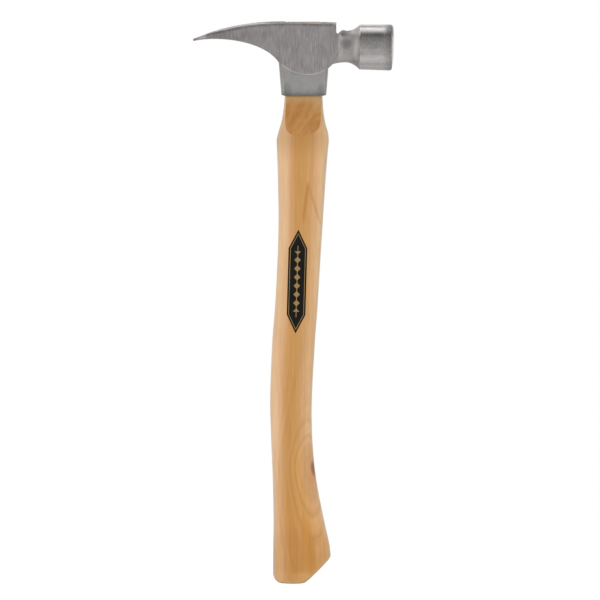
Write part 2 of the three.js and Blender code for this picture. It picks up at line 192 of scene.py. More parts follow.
face_ahead = poll_back + poll_length - 0.11
print("poll from", round(poll_back, 1), "to", round(face_ahead, 1), "mm ahead of the eye")

# %% [markdown]
# ## Cheek plate
# The claw and the cheeks are one flat plate, ground on both sides after casting. The belt
# leaves a broad round along the top of the claw and a bevel round the disc, and these edges
# catch the light. So the plate's outline is redrawn at each level of its thickness: at every
# level each part of the outline moves in by the amount that its own edge asks for.


# %% Outline of the cheek plate
def top_height(x):
    """Top of the claw: level, then dropping as a power of the distance behind its start."""
    swept = np.clip((claw_run - claw_reach - x) / claw_run, 0, None)
    fallen = step_fall * np.clip(x, 0, None) / step_ahead
    return head_height - claw_drop * swept**claw_power - fallen


def on_disc(angle, inset=0.0):
    """x and z on the cheek's round edge at an angle, moved in by an inset."""
    return on_circle(angle, disc_radius - inset, disc_ahead, disc_height)


def bezier(handles, count):
    """Cubic Bezier curve over four handles."""
    t = np.linspace(0, 1, count)[:, None]
    weights = [(1 - t) ** 3, 3 * (1 - t) ** 2 * t, 3 * (1 - t) * t**2, t**3]
    return sum(w * h for w, h in zip(weights, np.array(handles)))


# Underside of the claw, from the tip to the socket.
tip_foot = top_height(-claw_reach) - claw_tip_thickness
under = bezier([
    [-claw_reach, tip_foot], [-claw_reach + 20.8, tip_foot + 4.55],
    [claw_root - 11.6, claw_root_height + 17.7], [claw_root, claw_root_height],
], 150)
# Edge of the cheek over the socket, from the claw's root down to the disc's circle.
lap_turn = np.radians(266)
lap_foot = on_disc(lap_turn)
lap = bezier([
    [claw_root, claw_root_height], [claw_root + 4.55, claw_root_height - 4.9],
    [lap_foot[0] - 9.9, lap_foot[1]], lap_foot,
], 70)
print("claw's tip at", under[0].round(1), "and its root at", under[-1].round(1))


# %% One level of the plate
def cheek_ring(rounding, bevel):
    """One level of the plate. Both arguments are an inset and a depth below the ground face.
    The top takes the rounding, the disc takes the bevel, the underside stays nearly sharp,
    and the step and the nose pass from one to the other."""
    (top_in, top_deep), (arc_in, arc_deep) = rounding, bevel
    kept = 0.25  # share of the bevel along the underside
    tip_in = 0.3 * arc_in
    share = np.linspace(0, 1, 160)[:, None]
    end = 2 * np.pi + np.arccos((step_ahead - disc_ahead) / disc_radius)
    angle = lap_turn + (end - lap_turn) * share
    disc = np.hstack([*on_disc(angle, arc_in), np.full_like(share, arc_deep)])
    run = np.gradient(lap, axis=0)
    inward = np.stack([-run[:, 1], run[:, 0]], 1) / np.linalg.norm(run, axis=1, keepdims=True)
    gain = kept + (1 - kept) * smooth(np.linspace(0, 8, len(lap)))[:, None]
    lapped = np.hstack([lap + inward * arc_in * gain, arc_deep * gain])
    x = step_ahead - arc_in + (-claw_reach + tip_in - step_ahead + arc_in) * share
    thickness = top_height(x) - np.interp(x, under[:, 0], under[:, 1], right=0)
    fits = np.minimum(1, 0.5 * thickness / top_rounding)
    top = np.hstack([x, top_height(x) - fits * top_in, fits * top_deep])
    lower = np.column_stack([under, np.full(len(under), kept * arc_deep)])
    lower[:, 1] += kept * arc_in
    lower[:, 0] += tip_in * (1 - smooth((under[:, 0] + claw_reach) / 3))
    joints = np.linspace(0, 1, 14)[1:-1, None]
    step = disc[-1] + (top[0] - disc[-1]) * joints
    nose = top[-1] + (lower[0] - top[-1]) * np.linspace(0, 1, 5)[1:-1, None]
    return np.concatenate([lower, lapped[1:], disc[1:], step, top, nose])


# %% Cheek plate
top_rounding = 4.4
# The rounding is a quarter circle; the bevel is a list of insets and depths.
tilt = np.radians([0, 5, 10, 16, 22, 28, 34, 40, 46, 52, 58, 64, 70, 76, 82, 87])
top_deep, top_in = round_edge(tilt, top_rounding)
bevel_line = np.array([
    [1.05, 0], [0.93, 0.01], [0.8, 0.045], [0.66, 0.11], [0.52, 0.19], [0.39, 0.27], [0.27, 0.36],
    [0.17, 0.46], [0.1, 0.58], [0.06, 0.7], [0.04, 0.8], [0.03, 0.9], [0.02, 1.1], [0.01, 1.4],
    [0.005, 2.0], [0, 2.8],
])
rings = []
for side in (1, -1):
    for rounding, bevel in list(zip(zip(top_in, top_deep), bevel_line))[::side]:
        x, z, deep = cheek_ring(rounding, bevel).T
        rings.append(np.column_stack([x, side * (cheek_half - deep), z]))
casting = skin("head_casting", np.array(rings))
print("plate faces:", len(casting.data.polygons))

# %% [markdown]
# ## Socket, neck and poll
# The socket is a block that widens upward, with its four corners taken off. The neck and the
# poll are turned: one profile of distance and radius is carried round an axis that falls a
# little toward the face. The neck's sides are pressed in so that the ground cheeks stay proud,
# and a low lip crosses its top where the nail's head is seated.


# %% Socket
def rounded(points, reach, steps=5):
    """Closed outline whose corners become curves that start and end at reach from them."""
    points = np.asarray(points, float)

    def toward(others):
        arms = others - points
        arms = arms / np.linalg.norm(arms, axis=1, keepdims=True) * reach
        return (points + arms)[:, None]

    t = np.linspace(0, 1, steps)[None, :, None]
    start, end = toward(np.roll(points, 1, 0)), toward(np.roll(points, -1, 0))
    return ((1 - t) ** 2 * start + 2 * t * (1 - t) * points[:, None] + t**2 * end).reshape(-1, 2)


def laid(ring, z):
    """Outline in x and y, laid at height z."""
    return np.insert(ring, 2, z, axis=1)


def socket_ring(z, inset):
    """Rectangle with cut corners at height z, its front and back leaning out with z. The mouth
    stands a little higher at the front and back, less so on the levels above it."""
    back = -socket_back - socket_lean * z + inset
    front = socket_front + socket_lean * z - inset
    half, cut = socket_half - inset, socket_chamfer
    corners = [
        [front, cut - half], [front, half - cut], [front - cut, half], [back + cut, half],
        [back, half - cut], [back, cut - half], [back + cut, -half], [front - cut, -half],
    ]
    ring = rounded(corners, socket_corner, 9)
    at_ends = np.abs(ring[:, 0]) > socket_side
    raised = lip_step * smooth((half - np.abs(ring[:, 1])) / cut - 0.1) * at_ends
    return np.column_stack([ring, z + raised * (1 - z / socket_reach)])


socket_reach, socket_corner, socket_side, lip_step, lip = 34.0, 1.9, 14, 0.8, 0.45
turn = np.radians([0, 22, 45, 68, 90])
levels = [*zip(*round_edge(turn, lip)), (socket_reach, 0.0)]
socket = skin("socket", np.array([socket_ring(z, inset) for z, inset in levels]))
print("socket faces:", len(socket.data.polygons))


# %% Profile of neck and poll
def turned_profile():
    """Distances and radii from the neck's root to the face: two power curves, rim and crown."""
    share = np.linspace(0, 1, 60)

    def from_waist(end, radius):
        widening = (radius - neck_waist_radius) * share**neck_power
        return np.stack([neck_waist + (end - neck_waist) * share, neck_waist_radius + widening], 1)

    into = from_waist(disc_front - 5.8, 14.8)  # ends inside the disc
    out = from_waist(poll_back, poll_radius)
    rim_radius, rim_ahead = poll_radius + poll_growth, face_ahead - crown
    fallen, short = round_edge(share * np.pi / 2, rim_edge)
    rim = np.stack([rim_ahead - short, rim_radius - fallen], 1)
    inner = rim_radius - rim_edge
    face = np.stack([rim_ahead + crown * (1 - (1 - share) ** 2),
                     inner + (flat_radius - inner) * share], 1)
    line = resample(np.concatenate([into[::-1], out[1:], rim, face[1:]]), 0.1)
    window = np.ones(9) / 9
    for _ in range(2):
        padded = np.pad(line, ((4, 4), (0, 0)), mode="edge")
        line = np.stack([np.convolve(padded[:, i], window, "valid") for i in (0, 1)], 1)
    return resample(line, 0.5)


rim_edge, crown, flat_radius = 2.4, 0.9, 6.0
profile = turned_profile()
print("profile points:", len(profile))


# %% Neck and poll
def pressed_half(x, z):
    """Half width of the neck: a step down from the cheek to a hollow, then an arc to the poll."""
    beyond = np.hypot(x - disc_ahead, z - disc_height) - disc_radius
    run, rise = poll_back - hollow_x, poll_radius - hollow_half
    bend = (run**2 + rise**2) / (2 * rise)
    flare = bend - np.sqrt(bend**2 - np.clip(x - hollow_x, 0, run) ** 2)
    step = (cheek_half - 0.3 - hollow_half) * (1 - smooth(beyond / step_width))
    return hollow_half + np.hypot(step, flare)


def turned_rings(profile, count=144):
    """Profile carried round the axis, its sides pressed in behind the poll to a superellipse. A
    bell-shaped lip is added on top, the face is leaned, and all is tilted about the poll."""
    angle = full_turn(count)
    x, radius = profile[:, 0, None], profile[:, 1, None]
    z = radius * np.sin(angle)
    behind = x < poll_back
    half = pressed_half(x, poll_axis_height + z)
    pressed = np.where(behind, np.minimum(radius, half), radius)
    power = 2 + 4 * (1 - pressed / radius) * behind
    squared = (1 - np.abs(np.sin(angle)) ** power) ** (1 / power)
    y = np.sign(np.cos(angle)) * pressed * squared
    on_top = smooth(3 * np.sin(angle) - 1.8)
    seat = seat_rise * np.exp(-((x - seat_ahead) / seat_spread) ** 2) * on_top
    leaned = face_lean * z * smooth((x - face_ahead + lean_run) / lean_run)
    ahead = x - poll_back + leaned
    z = z + seat
    return np.stack([
        poll_back + ahead * np.cos(poll_tilt) + z * np.sin(poll_tilt),
        y,
        poll_axis_height - ahead * np.sin(poll_tilt) + z * np.cos(poll_tilt),
    ], -1)


hollow_x, hollow_half, step_width = 35.2, 10.2, 2.4
seat_rise, seat_ahead, seat_spread = 0.5, disc_front + 3.4, 1.2
face_lean, lean_run = 0.013, 8
poll = skin("poll", turned_rings(profile))
print("neck and poll faces:", len(poll.data.polygons))

# %% [markdown]
# ## What is cut out of the casting
# The eye is an hourglass, so that a driven wedge locks the handle. The nail slot is a V with
# bevelled lips that bite under a nail's head. On top, in front of the cheek, a notch and a
# shallow channel hold a nail for starting it with one hand, and a magnet sits in a pocket.


# %% Eye and magnet pocket
def eye_half(z):
    """Half length and half width of the eye at height z: straight to the waist, then out."""
    return [np.interp(z, eye_heights, sizes) / 2 for sizes in (eye_lengths, eye_widths)]


def rectangle(half_x, half_y, x=0.0):
    """Corners of a rectangle about x, in the order that faces outward when stacked upward."""
    front, back = x + half_x, x - half_x
    return [[front, -half_y], [front, half_y], [back, half_y], [back, -half_y]]


def eye_ring(z, grow):
    """Rectangle of the eye at height z, grown by a width and with rounded corners."""
    half_length, half_width = (half + grow for half in eye_half(z))
    return laid(rounded(rectangle(half_length, half_width), eye_corner, 9), z)


below_head, mouth_depth, above_head, mouth_flare = -2, 1.3, 0.7, 2.0
eye = skin("eye", np.array([
    eye_ring(z, grow)
    for z, grow in ((below_head, 0), (eye_waist, 0), (head_height - mouth_depth, 0),
                    (head_height + above_head, mouth_flare))
]))

magnet_x, magnet_radius, magnet_length = disc_front + 12, 3.0, 4.0
magnet_top = neck_top - 0.2
gap = 0.3


def upright(name, x, radii, heights, count=64):
    """Turned piece about an upright axis at x, given by its radii at rising heights."""
    angle = full_turn(count)
    radii, heights = np.array(radii)[:, None], np.array(heights)[:, None]
    level = np.broadcast_to(heights, (len(heights), count))
    return skin(name, np.stack([*on_circle(angle, radii, x), level], -1))


# The pocket is open at the top, so that the magnet can be pressed in.
pocket_floor = magnet_top - magnet_length - gap
pocket = upright("pocket", magnet_x, [magnet_radius + gap] * 2, [pocket_floor, head_height + 2])
print("eye at its waist:", 2 * np.array(eye_half(eye_waist)), "mm")


# %% Nail slot
def slot_edge():
    """Slot seen from above: a V with a round root, and the outward direction at each point."""
    length, mouth_width, root_width = 42.0, 10.5, 2.6
    root_half = root_width / 2
    root_x, mouth_x = -claw_reach + length - root_half, -claw_reach - 4
    spread = (mouth_width / 2 - root_half) / (root_x + claw_reach)
    lower = resample(np.array([[mouth_x, -root_half - spread * (root_x - mouth_x)],
                               [root_x, -root_half]]), 0.6)
    turn = np.linspace(-np.pi / 2, np.pi / 2, 25)[1:-1]
    root = np.stack(on_circle(turn, root_half, root_x), 1)
    side = np.concatenate([lower, root, lower[::-1] * [1, -1]])
    outward = np.concatenate([
        np.broadcast_to([0, -1], lower.shape),
        np.stack(on_circle(turn, 1), 1),
        np.broadcast_to([0, 1], lower.shape),
    ])
    return side, outward


def slot_rings():
    """Slot edge at levels that follow the claw's underside and top, wider beyond each lip."""
    side, outward = slot_edge()
    top = top_height(side[:, 0])
    foot = np.interp(side[:, 0], under[:, 0], under[:, 1])
    bevel = np.clip(0.33 * (top - foot), 0.3, 1.3)
    levels = [(foot - 2 * bevel, 3 * bevel), (foot + bevel, 0 * bevel),
              (top - 0.7 * bevel, 0 * bevel), (top + bevel, 1.7 * bevel)]
    return np.array([np.column_stack([side + outward * wide[:, None], z]) for z, wide in levels])


slot = skin("slot", slot_rings())
print("slot faces:", len(slot.data.polygons))


# %% Nail starter and the relieved corners of the step
def standing(ring, y):
    """Outline in x and z, stood up at y."""
    return np.insert(ring, 1, y, axis=1)


def across(name, points, half, reach=0.25):
    """Prism across the tool over a closed outline in x and z, counter-clockwise from the side."""
    ring = rounded(points, reach)
    return skin(name, np.array([standing(ring, y) for y in (half, -half)]))


notch = across("notch", [
    [step_ahead, neck_top - 1.2],
    [step_ahead + 1, neck_top - 2.2],
    [step_ahead + 3.7, neck_top],
    [step_ahead + 5.7, neck_top + 2],
    [step_ahead + 5.7, neck_top + 12],
    [step_ahead, neck_top + 12],
], cheek_half + 2)

groove_radius, groove_depth, groove_sides = 2.1, 1.1, 48
groove_axis = poll_axis_height + poll_radius + groove_radius - groove_depth
groove_round = np.stack(on_circle(full_turn(groove_sides), groove_radius, 0, groove_axis), 1)
groove = skin("groove", np.array([
    np.insert(groove_round, 0, x, axis=1) for x in (step_ahead, face_ahead + 2)
]))

relief_levels = ((0.8, -0.5), (0.72, -0.2), (0.5, 0.3), (0.2, 0.75), (0.05, 1.2), (-0.4, 1.7))
relief_front, relief_top = 34, 70  # well outside the casting's corner


def relief(side):
    """Cutter for the corner above the disc: its arc moves in as a level comes nearer to the
    cheek's face. Levels are pairs of a depth below the face and the arc's inset."""
    angle = np.radians(np.linspace(12, 58, 60))
    rings = []
    for deep, arc_in in relief_levels[::side]:
        arc = np.stack(on_disc(angle, arc_in), 1)
        far = [[arc[-1, 0], relief_top], [relief_front, relief_top], [relief_front, arc[0, 1]]]
        rings.append(standing(np.concatenate([arc, far]), side * (cheek_half - deep)))
    return skin("relief", np.array(rings))


combine(casting, [socket, poll], "UNION")
combine(casting, [eye, pocket, slot, notch, groove, relief(1), relief(-1)], "DIFFERENCE")
ahead = read(casting.data.polygons, "center")[0] / MM
print("casting faces:", len(ahead), "x from", ahead.min().round(1), "to", ahead.max().round(1))

# %% [markdown]
# ## Finish of the casting's shading
# The fillets are thin bands beside wide flats. Normals weighted by face area keep the flats
# flat to the eye, so a fillet only catches light on its own width.


# %% Crisp flats
def crisp(piece, degrees):
    """Smooth shading, sharp at edges over an angle, its normals led by the widest faces."""
    piece.data.shade_smooth()
    piece.data.set_sharp_from_angle(angle=np.radians(degrees))
    lead = piece.modifiers.new("lead", "WEIGHTED_NORMAL")
    lead.mode = "FACE_AREA"
    lead.keep_sharp = True
    settle(piece)


crisp(casting, 32)
print("casting shaded:", len(casting.data.polygons), "faces")

# %% [markdown]
# ## Handle
# The handle is one length of hickory, sawn to a curve and shaved to a squarish oval. Here it is
# one skin: widths, thicknesses and the place of its middle are read along the length at the
# stations where a maker would check them with callipers. Two planed flats let it into the
# socket. The butt is sawn off on a slant in front, so its rings follow that end surface.


# %% Values between stations
def along(stations, drop):
    """Value at each place: cubics between stations, with the slopes of their neighbours."""
    places, values = np.array(stations, float).T
    rises, runs = np.diff(values), np.diff(places)
    slopes = np.empty_like(values)
    slopes[1:-1] = (values[2:] - values[:-2]) / (places[2:] - places[:-2])
    slopes[[0, -1]] = (rises / runs)[[0, -1]]
    i = np.clip(np.searchsorted(places, drop) - 1, 0, len(places) - 2)
    span = places[i + 1] - places[i]
    t = (drop - places[i]) / span
    ease = t * (1 - t) * span
    step = rises[i] * t * t * (3 - 2 * t)
    return values[i] + step + ease * ((1 - t) * slopes[i] - t * slopes[i + 1])


print("halfway between 0 and 1:", along([(0, 0), (1, 1)], np.array([0.5])))

# %% Sizes of the handle
# Stations are pairs of the drop below the socket and a size, both in millimetres.
handle_length = 395.6
widths = [(0, 30.6), (11, 32.3), (20.7, 35.5), (30.4, 40.8), (36, 42.5), (43.4, 41.5),
          (64, 39.1), (105, 35.8), (150, 34.6), (198, 34.7), (246.6, 33.9), (278.6, 33.5),
          (311.6, 35.4), (344.6, 41.1), (368.6, 46.4), (handle_length, 47.3)]
backs = [(0, 0), (20.7, 0.3), (30.4, 0.35), (36, 0.7), (64, 1.4), (105, 2.5), (150, 4.7),
         (174, 6.15), (198, 8.05), (246.6, 10.2), (278.6, 9.6), (311.6, 7.3), (344.6, 3.8),
         (368.6, 1.5), (handle_length, 1.25)]
thicknesses = [(0, 25), (36, 25), (150, 22.4), (246.6, 23.4), (handle_length, 26.4)]
section_power, shoulder_squareness, squareness_drop = 2.5, 1.25, 40
flat_start, flat_end, flat_drop, flat_power, flat_lean = 8.9, 12.5, 32.5, 3.3, 0.1
flat_edge, clear_of_flat = 0.25, 1.5
butt_rounding, heel_rounding = 2.2, 7.8
toe_from, toe_slope, toe_bend, toe_edge = 1.0, 0.86, 0.0065, 1.2
butt_rear, butt_middle, butt_half, butt_crown = -24.9, -8.5, 9, 0.4
print("width at the grip:", along(widths, np.array([277.6])).round(2), "mm")


# %% Section
def flat_half(drop, x):
    """Half thickness between the planed flats, growing as a power of the drop, sooner in front."""
    leaned = np.clip(drop + flat_lean * x, 0, None)
    return flat_start + (flat_end - flat_start) * (leaned / flat_drop) ** flat_power


def squareness(drop):
    """Power of the section's superellipse: squarer toward the socket."""
    return section_power + shoulder_squareness * (1 - smooth(drop / squareness_drop))


def superellipse(angle, power):
    """Cosine and sine of an angle, and the reach there of a squarish oval: the powers of both
    are added, and the sum's inverse root is taken."""
    c, s = np.cos(angle), np.sin(angle)
    return c, s, (np.abs(c) ** power + np.abs(s) ** power) ** (-1 / power)


def section(drop, angle, inset):
    """Superellipse at a drop: x and y, its sides eased off against the planed flats."""
    half = along(widths, drop) / 2 - inset
    thick = along(thicknesses, drop) / 2 - inset
    c, s, reach = superellipse(angle, squareness(drop))
    full = np.abs(thick * s * reach)
    x = half * c * reach - along(backs, drop)
    flat = flat_half(drop, x)
    eased = (full + flat - np.sqrt((full - flat) ** 2 + flat_edge**2)) / 2
    return x, np.sign(s) * np.where(full < flat - clear_of_flat, full, np.minimum(full, eased))


print("half width between the flats, 10 mm down:", flat_half(10.0, 0.0).round(2), "mm")


# %% End surface and rings
def end_rise(x):
    """Height of the butt's end over its lowest plane: slanted in front, rounded at the heel."""
    ahead = (x - toe_from + np.sqrt((x - toe_from) ** 2 + toe_edge**2)) / 2
    toe = toe_slope * ahead + toe_bend * ahead**2
    behind = np.clip((butt_rear + heel_rounding - x) / heel_rounding, 0, 0.94)
    crowned = butt_crown * np.clip((x - butt_middle) / butt_half, -1, 1) ** 2
    return toe + crowned + heel_rounding * (1 - np.sqrt(1 - behind**2))


def handle_rings(count=224):
    """Rings from the middle of the butt's end, out over its rounding, and up to the socket."""
    angle = full_turn(count)
    turn = np.linspace(0, np.pi / 2, 8)
    foot_end, shoulder_start, level_above = 32, handle_length - 38, 62
    low = np.linspace(butt_rounding, foot_end, 30)[1:]
    middle = np.linspace(foot_end, shoulder_start, 150)[1:]
    high = np.linspace(shoulder_start, handle_length, 90)[1:]
    rounding_rise, rounding_inset = round_edge(turn, butt_rounding)
    rise = np.concatenate([rounding_rise, low, middle, high])[:, None]
    inset = np.zeros_like(rise)
    inset[:len(turn), 0] = rounding_inset
    follow = 1 - smooth(rise / level_above)
    z = rise - handle_length
    for _ in range(6):  # the end surface depends on x, and x on the drop
        x, y = section(-z, angle, inset)
        z = np.minimum(rise - handle_length + end_rise(x) * follow, 0)
    side = np.stack([x, y, z], -1)
    share, middle_x = np.linspace(0.02, 1, 16)[:-1, None], -1.0
    x = middle_x + (side[0, :, 0] - middle_x) * share
    end = np.stack([x, side[0, :, 1] * share, end_rise(x) - handle_length], -1)
    return np.concatenate([end, side])


side_rings = handle_rings()
print("rings:", side_rings.shape, "lowest", side_rings[..., 2].min().round(2))


# %% Tenon
tenon_top, tenon_power = head_height - 0.4, 9
fit = 0.3


def tenon_rings(count=224):
    """Squarish ovals that fill the eye but for a gap all round, its top edge eased off."""
    angle = full_turn(count)
    heights = np.array([0.3, 13, 26, 40, tenon_top - 0.5, tenon_top - 0.15, tenon_top])[:, None]
    inset = fit + np.array([0, 0, 0, 0, 0, 0.15, 0.5])[:, None]
    half_length, half_width = eye_half(heights)
    c, s, reach = superellipse(angle, tenon_power)
    x = (half_length - inset) * c * reach
    y = (half_width - inset) * s * reach
    return np.stack([x, y, np.broadcast_to(heights, x.shape)], -1)


print("tenon", len(tenon_rings()), "rings high")


# %% Wedges and their slots
def wedge(name, x, low, high, foot, top, ease=0.25):
    """Tapering slab upright at x: sizes along x and y at its foot and top, edges eased."""
    foot, top = np.array(foot) / 2, np.array(top) / 2
    rings = []
    for z, less in ((low, ease), (low + ease, 0), (high - ease, 0), (high, ease)):
        half_x, half_y = foot + (top - foot) * ((z - low) / (high - low)) - less
        rings.append(laid(rounded(rectangle(half_x, half_y, x), 0.3, 4), z))
    return skin(name, np.array(rings))


kerf_depth, kerf_foot, wedge_depth, wedge_top = 40, 1.6, 36, 5.4
kerf_top = wedge_top + 2 * fit
slimming = (kerf_top - kerf_foot) / kerf_depth
wedge_foot = wedge_top - slimming * wedge_depth
wedge_length = eye_lengths[1] - 2 * 0.8  # clear of the eye's waist
steel_length, steel_depth, steel_top, steel_foot = eye_widths[1] - 2 * 1.05, 17, 2.3, 0.8
steel_places = (6.5, -6.5)
sharp = 0.01  # edge of a cutter


def steel_slots():
    """Cutters for both cross wedges: their slabs, a fit wider all round and carried on upward."""
    rise = 2
    growth = (steel_top - steel_foot) / steel_depth * rise
    foot = np.array([steel_foot, steel_length]) + 2 * fit
    top = np.array([steel_top + growth, steel_length]) + 2 * fit
    return [
        wedge("slot", x, tenon_top - steel_depth - fit, tenon_top + rise, foot, top, sharp)
        for x in steel_places
    ]


print("kerf", kerf_depth, "mm deep, cross wedges", steel_depth, "mm")

# %% Handle and what is driven into it
handle = skin("hickory_handle", np.concatenate([side_rings, tenon_rings()]))
through = 34  # longer than the tenon
kerf = wedge("kerf", 0, tenon_top - kerf_depth, tenon_top + 2, (through, kerf_foot),
             (through, kerf_top + 2 * slimming), sharp)
combine(handle, [kerf] + steel_slots(), "DIFFERENCE")
crisp(handle, 50)

cleft = wedge("tenon_wedge", 0, tenon_top - wedge_depth, tenon_top + 0.15,
              (wedge_length, wedge_foot), (wedge_length, wedge_top))
combine(cleft, steel_slots(), "DIFFERENCE")
crisp(cleft, 30)
steels = [
    wedge(name, x, tenon_top - steel_depth, tenon_top + 0.1,
          (steel_foot, steel_length), (steel_top, steel_length), 0.2)
    for name, x in zip(("cross_wedge_front", "cross_wedge_rear"), steel_places)
]
magnet = upright("starter_disc", magnet_x, np.array([2.7, 3, 3, 2.7]) * magnet_radius / 3,
                 magnet_top - np.array([4, 3.7, 0.3, 0]))
for piece in steels + [magnet]:
    crisp(piece, 30)
print("handle faces:", len(handle.data.polygons))

# %% [markdown]
# ## Node helpers
# Materials are built from nodes in code. `add` places a node and fills or links its inputs. A
# `Number` stands for what one node puts out: a sign between two of them places the Math node
# that works it out, so a formula in the code reads like a formula.


# %% Nodes and numbers
def fill(node, inputs):
    """Sets or links a node's inputs: a socket's name or number, and a value or an output. A
    colour is given as red, green and blue, and its socket wants a 1 after them."""
    for key, value in inputs.items():
        target = node.inputs[key]
        if isinstance(value, Number):
            value = value.socket
        if isinstance(value, bpy.types.NodeSocket):
            node.id_data.links.new(value, target)
        else:
            target.default_value = (*value, 1) if target.type == "RGBA" else value


def add(tree, kind, inputs, **settings):
    """Adds a shader node, makes its settings and fills its inputs."""
    node = tree.nodes.new("ShaderNode" + kind)
    for key, value in settings.items():
        setattr(node, key, value)
    fill(node, inputs)
    return node


def work_out(operation, *values):
    """What a Math node makes of values, at least one of which is a Number."""
    tree = next(value.tree for value in values if isinstance(value, Number))
    return Number(add(tree, "Math", dict(enumerate(values)), operation=operation).outputs[0])


def sign(operation, swapped=False):
    """Method for a sign whose left side is the Number, or its right side when swapped."""
    def put(self, other):
        return work_out(operation, *((other, self) if swapped else (self, other)))
    return put


class Number:
    """A number that a node puts out. Each sign between two places the node for it."""

    def __init__(self, socket):
        self.socket, self.tree = socket, socket.id_data

    def __abs__(self):
        return work_out("ABSOLUTE", self)

    __add__, __mul__, __truediv__ = sign("ADD"), sign("MULTIPLY"), sign("DIVIDE")
    __sub__, __rsub__ = sign("SUBTRACT"), sign("SUBTRACT", swapped=True)
    __pow__, __rpow__ = sign("POWER"), sign("POWER", swapped=True)


def larger(one, other):
    return work_out("MAXIMUM", one, other)


def smaller(one, other):
    return work_out("MINIMUM", one, other)


print("number helpers ready")


# %% Products and places
def times(one, other):
    """Product of two colours or two places, part by part."""
    return add(one.id_data, "VectorMath", {0: one, 1: other}, operation="MULTIPLY").outputs[0]


def scale(vector, factor):
    """A colour or a place, times a number."""
    node = add(vector.id_data, "VectorMath", {0: vector, "Scale": factor}, operation="SCALE")
    return node.outputs[0]


def millimetres(tree):
    """Place on the piece in millimetres, from its Object coordinates."""
    return scale(add(tree, "TexCoord", {}).outputs["Object"], 1 / MM)


def split(place):
    """The x, y and z of a place."""
    return [Number(part) for part in add(place.id_data, "SeparateXYZ", {0: place}).outputs]


print("place helpers ready")


# %% Ramps and graphs
def ramp(factor, low, high, to_low=0.0, to_high=1.0):
    """Smooth step of a factor from one pair of values to another."""
    node = add(factor.tree, "MapRange", {
        "Value": factor, "From Min": low, "From Max": high, "To Min": to_low, "To Max": to_high,
    }, interpolation_type="SMOOTHSTEP")
    return Number(node.outputs["Result"])


def blend(share, one, other):
    """Colour between one and other by a share."""
    return add(share.tree, "Mix", {"Factor": share, 6: one, 7: other}, data_type="RGBA").outputs[2]


def paint(base, *layers):
    """A colour with layers laid over it, each with a share, a strength and a colour."""
    for share, strength, tone in layers:
        base = blend(share * strength, base, tone)
    return base


def between(share, one, other):
    """Number between one and other by a share."""
    return Number(add(share.tree, "Mix", {0: share, 2: one, 3: other}).outputs[0])


def colour_graph(factor, points):
    """Colour read off a colour ramp: points are pairs of a place on the factor and a colour."""
    first, last = points[0][0], points[-1][0]
    node = add(factor.tree, "ValToRGB", {"Fac": (factor - first) / (last - first)})
    stops = node.color_ramp.elements
    stops[0].color, stops[1].color = (*points[0][1], 1), (*points[-1][1], 1)
    for place, tone in points[1:-1]:
        stops.new((place - first) / (last - first)).color = (*tone, 1)
    return node.outputs[0]


def graph(factor, points, ceiling=1.0):
    """Number read off a line graph: pairs of a place on the factor and a value."""
    greys = colour_graph(factor, [(place, [value / ceiling] * 3) for place, value in points])
    return Number(add(factor.tree, "RGBToBW", {0: greys}).outputs[0]) * ceiling


print("ramp helpers ready")


# %% Noise, spots and bumps
def noise(place, stretch, detail=2.0, rough=0.5, seed=0.0):
    """Noise from 0 to 1 with a given fineness per millimetre along x, y and z."""
    tree = place.id_data
    moved = add(tree, "Mapping", {"Vector": place, "Scale": stretch, "Location": [seed] * 3})
    node = add(tree, "TexNoise", {"Vector": moved.outputs[0], "Scale": 1, "Detail": detail,
                                  "Roughness": rough})
    return Number(node.outputs["Fac"])


def spot(x, z, centre, size, lean=0.0):
    """Share from 1 at a centre to 0 at a size away from it, in x and z, leaning with z."""
    from_z = z - centre[1]
    from_x = x - centre[0] - from_z * lean
    return ramp((from_x / size[0]) ** 2 + (from_z / size[1]) ** 2, 1, 0)


def bump(height, strength):
    """Normals bent by a grain that is a fifth of a millimetre high at full strength."""
    inputs = {"Height": height, "Strength": strength, "Distance": 0.2 * MM}
    return add(height.id_data, "Bump", inputs).outputs[0]


print("texture helpers ready")


# %% Groups and materials
def group(name, inputs, outputs):
    """Empty node group with sockets by name and kind: its tree, input node and output node."""
    tree = bpy.data.node_groups.new(name, "ShaderNodeTree")
    for side, sockets in (("INPUT", inputs), ("OUTPUT", outputs)):
        for socket, kind in sockets.items():
            tree.interface.new_socket(socket, in_out=side, socket_type="NodeSocket" + kind)
    return tree, tree.nodes.new("NodeGroupInput"), tree.nodes.new("NodeGroupOutput")


def surface(name):
    """New material, its node tree and its Principled shader."""
    material = bpy.data.materials.new(name)
    material.use_nodes = True
    return material, material.node_tree, material.node_tree.nodes["Principled BSDF"]


print("material helpers ready")

# %% [markdown]
# ## Alloy
# The whole head is one alloy, but each tool that finished it left its own skin: the mould a
# faint blasted grain, the belt grinder fine upright lines on the cheeks, the lathe rings round
# the poll. One group makes the skin from a fineness per axis; each material sets its own. Zones
# in each material paint shade and highlight into the colour: painted shade toward the socket's
# mouth and sides, under the disc's edge, toward the claw and over the top rounding, and painted
# highlights and shade on the neck and at the poll's rim. The poll is also darker toward its rim.

# %% Metal skin
metal_skin, into, out = group(
    "metal_skin",
    {"Place": "Vector", "Tone": "Color", "Grit": "Vector", "Contrast": "Float", "Shade": "Float",
     "Roughness": "Float"},
    {"Color": "Color", "Roughness": "Float", "Height": "Float"},
)
given = into.outputs
grit = Number(add(metal_skin, "TexNoise", {
    "Vector": times(given["Place"], given["Grit"]), "Scale": 1, "Detail": 3, "Roughness": 0.6,
}).outputs["Fac"])
cloud = ramp(noise(given["Place"], [0.11] * 3, detail=3), 0.3, 0.7, -1, 1)
mottled = (ramp(grit, 0.25, 0.75, -1, 1) + cloud * 0.3) * given["Contrast"] + 1
fill(out, {
    "Color": scale(given["Tone"], mottled * given["Shade"]),
    "Roughness": cloud * 0.04 + given["Roughness"],
    "Height": grit,
})
print("metal skin from", len(metal_skin.nodes), "nodes")


